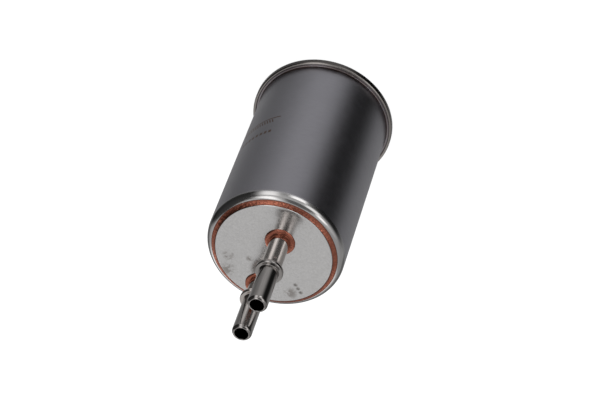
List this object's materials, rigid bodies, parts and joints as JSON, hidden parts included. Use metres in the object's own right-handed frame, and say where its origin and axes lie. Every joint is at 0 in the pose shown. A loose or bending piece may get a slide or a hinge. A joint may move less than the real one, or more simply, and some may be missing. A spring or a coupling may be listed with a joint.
{
  "type": "fuel filter",
  "caption": "In-line fuel filter: drawn stainless can with a rolled rim, copper-brazed port plate and beaded quick-connect tubes; pleated paper element on a spring inside.",
  "frame": {"origin": "centre of the rolled rim's resting face, on the can's axis", "axes": "+Z along the can's axis, from the closed end towards the tubes; the inlet tube lies on the +Y side and the outlet tube on the -Y side"},
  "size_m": [0.0594, 0.0594, 0.1332],
  "materials": {
    "can_steel": "satin stainless sheet, darkened by furnace brazing",
    "plate_steel": "matte stainless plate with a fine mottled grain",
    "copper": null,
    "tube_steel": "polished drawn stainless tube",
    "rim_steel": "dark rolled stainless edge",
    "seal_compound": "sprayed seam compound",
    "spring_steel": "drawn spring wire",
    "cap_steel": "tinned steel pressing",
    "potting_glue": "cured plastisol",
    "filter_paper": "resin-treated pleated paper",
    "band_fleece": "thin fleece band",
    "seal_rubber": "fluoro rubber"
  },
  "bodies": {
    "can": {"shell": "can_steel", "port_plate": "plate_steel", "plate_braze": "copper", "outlet_tube": "tube_steel", "inlet_tube": "tube_steel", "outlet_braze": "copper", "inlet_braze": "copper", "end_cover": "rim_steel", "seam_seal": "seal_compound", "support_spring": "spring_steel"},
    "element": {"element_bottom_cap": "cap_steel", "bottom_potting": "potting_glue", "pleated_media": "filter_paper", "media_clip": "cap_steel", "pleat_bands": "band_fleece", "core_tube": "cap_steel", "top_potting": "potting_glue", "element_top_cap": "cap_steel", "outlet_grommet": "seal_rubber", "grommet_retainer": "cap_steel"}
  },
  "joints": [
    {"name": "element_float", "type": "slide", "parent": "can", "child": "element", "axis": [0, 0, 1], "range_m": [-0.0015, 0], "stiffness_N_per_m": 4000, "springref_m": 0.0075, "deforming": ["support_spring"]}
  ]
}
